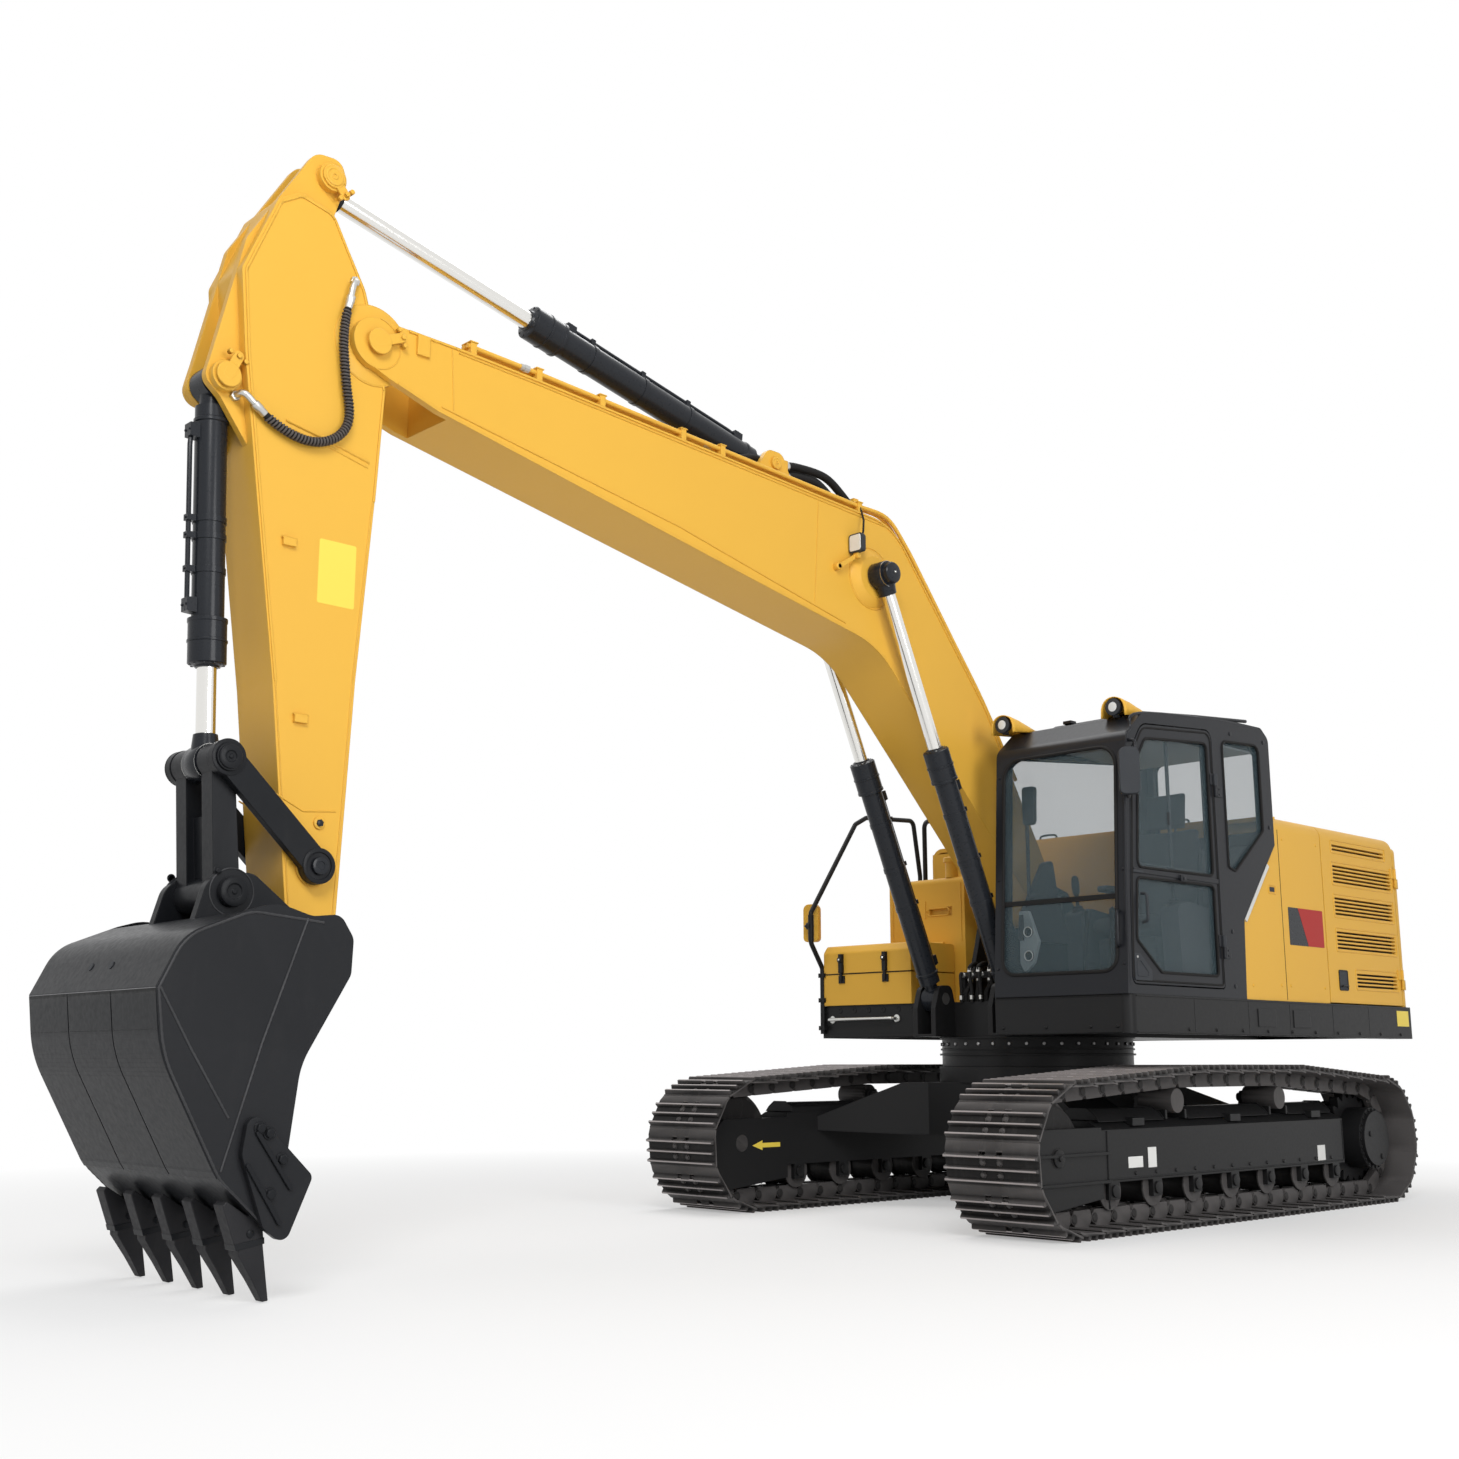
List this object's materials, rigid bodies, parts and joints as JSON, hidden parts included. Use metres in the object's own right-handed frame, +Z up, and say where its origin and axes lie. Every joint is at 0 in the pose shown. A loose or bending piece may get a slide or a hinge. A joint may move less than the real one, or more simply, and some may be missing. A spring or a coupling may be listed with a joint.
{
  "type": "crawler excavator",
  "caption": "Crawler excavator on two tracks with a swinging upper body, side cab, bent boom, arm and linkage-driven bucket worked by hydraulic cylinders.",
  "frame": {"origin": "middle of the bounding box at the ground", "axes": "+X to the boom and bucket, +Y to the cab side, +Z up"},
  "size_m": [9.1668, 2.98, 5.146],
  "materials": {
    "body_yellow": "semi-gloss paint",
    "weight_yellow": "semi-gloss paint",
    "frame_black": "satin black paint",
    "cab_black": "satin black paint",
    "cylinder_black": "gloss black paint",
    "bucket_black": "worn black paint",
    "track_steel": "worn dark steel",
    "ring_steel": "machined steel",
    "pin_steel": "dark steel",
    "tooth_steel": "dark cast steel",
    "rod_chrome": "polished chrome",
    "window_glass": "clear tinted glass",
    "seat_fabric": "woven cover",
    "control_plastic": "moulded plastic",
    "engine_metal": "cast metal"
  },
  "bodies": {
    "undercarriage": {"car_body": "frame_black", "towing_eye": "frame_black", "track_frame_left": "frame_black", "track_frame_right": "frame_black", "track_left": "track_steel", "track_right": "track_steel", "idler_left": "track_steel", "idler_right": "track_steel", "sprocket_left": "frame_black", "sprocket_right": "frame_black", "bottom_rollers": "track_steel", "carrier_rollers": "track_steel"},
    "upper": {"swing_ring": "ring_steel", "deck_frame": "frame_black", "boom_brackets": "frame_black", "boom_foot_pins": "pin_steel", "counterweight": "weight_yellow", "lifting_eyes": "frame_black", "left_panel": "body_yellow", "right_panel": "body_yellow", "engine_block": "engine_metal", "tanks": "body_yellow", "toolbox": "body_yellow", "handrail": "frame_black", "cab_shell": "cab_black", "cab_glass": "window_glass", "cab_seat": "seat_fabric", "cab_controls": "control_plastic"},
    "boom": {"boom": "body_yellow", "boom_pins": "pin_steel"},
    "arm": {"arm": "body_yellow", "arm_pins": "pin_steel"},
    "bucket": {"bucket_shell": "bucket_black", "bucket_pins": "pin_steel", "bucket_teeth": "tooth_steel", "side_cutters": "bucket_black"},
    "rocker": {"rocker_links": "bucket_black"},
    "link": {"bucket_link": "bucket_black"},
    "boom_barrels": {"boom_cylinder_barrels": "cylinder_black"},
    "boom_rods": {"boom_cylinder_rods": "rod_chrome"},
    "arm_barrel": {"arm_cylinder_barrel": "cylinder_black"},
    "arm_rod": {"arm_cylinder_rod": "rod_chrome"},
    "bucket_barrel": {"bucket_cylinder_barrel": "cylinder_black"},
    "bucket_rod": {"bucket_cylinder_rod": "rod_chrome"},
    "cab_door": {"cab_door": "cab_black", "cab_door_glass": "window_glass"},
    "grille_door": {"grille_door": "body_yellow"},
    "pump_door": {"pump_door": "body_yellow"},
    "engine_hood": {"engine_hood": "body_yellow"},
    "toolbox_lid": {"toolbox_lid": "body_yellow"}
  },
  "joints": [
    {"name": "swing", "type": "hinge", "parent": "undercarriage", "child": "upper", "pos_m": [-1.7975, 0, 0.88], "axis": [0, 0, 1], "continuous": true},
    {"name": "boom_lift", "type": "hinge", "parent": "upper", "child": "boom", "pos_m": [-1.6975, 0, 1.92], "axis": [0, -1, 0], "range_deg": [-58, 38]},
    {"name": "arm_swing", "type": "hinge", "parent": "boom", "child": "arm", "pos_m": [3.5225, 0, 4.235], "axis": [0, -1, 0], "range_deg": [-32, 80]},
    {"name": "bucket_curl", "type": "hinge", "parent": "arm", "child": "bucket", "pos_m": [3.6925, 0, 1.31], "axis": [0, -1, 0], "range_deg": [-140, 15]},
    {"name": "rocker_turn", "type": "hinge", "parent": "arm", "child": "rocker", "pos_m": [3.7025, 0, 1.745], "axis": [0, -1, 0], "range_deg": [-107, 12]},
    {"name": "link_turn", "type": "hinge", "parent": "rocker", "child": "link", "pos_m": [4.1525, 0, 2.17], "axis": [0, -1, 0], "range_deg": [-8, 64]},
    {"name": "boom_barrels_turn", "type": "hinge", "parent": "upper", "child": "boom_barrels", "pos_m": [-1.1175, 0, 1.31], "axis": [0, -1, 0], "range_deg": [-56, 37]},
    {"name": "boom_rods_slide", "type": "slide", "parent": "boom_barrels", "child": "boom_rods", "axis": [0.4163, 0, 0.9092], "range_m": [-0.78, 0.52]},
    {"name": "arm_barrel_turn", "type": "hinge", "parent": "boom", "child": "arm_barrel", "pos_m": [0.7625, 0, 4.37], "axis": [0, -1, 0], "range_deg": [-2, 4]},
    {"name": "arm_rod_slide", "type": "slide", "parent": "arm_barrel", "child": "arm_rod", "axis": [0.9773, 0, 0.2118], "range_m": [-1.01, 0.41]},
    {"name": "bucket_barrel_turn", "type": "hinge", "parent": "arm", "child": "bucket_barrel", "pos_m": [4.2325, 0, 3.88], "axis": [0, -1, 0], "range_deg": [-4, 2]},
    {"name": "bucket_rod_slide", "type": "slide", "parent": "bucket_barrel", "child": "bucket_rod", "axis": [-0.0467, 0, -0.9989], "range_m": [-0.12, 1]},
    {"name": "cab_door_hinge", "type": "hinge", "parent": "upper", "child": "cab_door", "pos_m": [-1.8615, 1.372, 1.6], "axis": [0, 0, 1], "range_deg": [0, 165]},
    {"name": "grille_door_hinge", "type": "hinge", "parent": "upper", "child": "grille_door", "pos_m": [-4.3105, 1.362, 1.48], "axis": [0, 0, 1], "range_deg": [0, 120]},
    {"name": "pump_door_hinge", "type": "hinge", "parent": "upper", "child": "pump_door", "pos_m": [-4.3105, -1.362, 1.48], "axis": [0, 0, -1], "range_deg": [0, 120]},
    {"name": "engine_hood_hinge", "type": "hinge", "parent": "upper", "child": "engine_hood", "pos_m": [-3.9925, 0, 2.532], "axis": [0, -1, 0], "range_deg": [0, 65]},
    {"name": "toolbox_lid_hinge", "type": "hinge", "parent": "upper", "child": "toolbox_lid", "pos_m": [-1.6355, -0.85, 1.712], "axis": [0, -1, 0], "range_deg": [0, 80]}
  ],
  "couplings": [
    {"joint": "boom_barrels_turn", "follows": "boom_lift", "ratio": 0.93446},
    {"joint": "boom_rods_slide", "follows": "boom_lift", "m_per_rad": 0.76218},
    {"joint": "arm_barrel_turn", "follows": "arm_swing", "ratio": 0.02764},
    {"joint": "arm_rod_slide", "follows": "arm_swing", "m_per_rad": -0.71555},
    {"joint": "rocker_turn", "follows": "bucket_curl", "ratio": 0.75369},
    {"joint": "link_turn", "follows": "bucket_curl", "ratio": -0.44472},
    {"joint": "bucket_barrel_turn", "follows": "bucket_curl", "ratio": 0.01752},
    {"joint": "bucket_rod_slide", "follows": "bucket_curl", "m_per_rad": -0.40157}
  ]
}
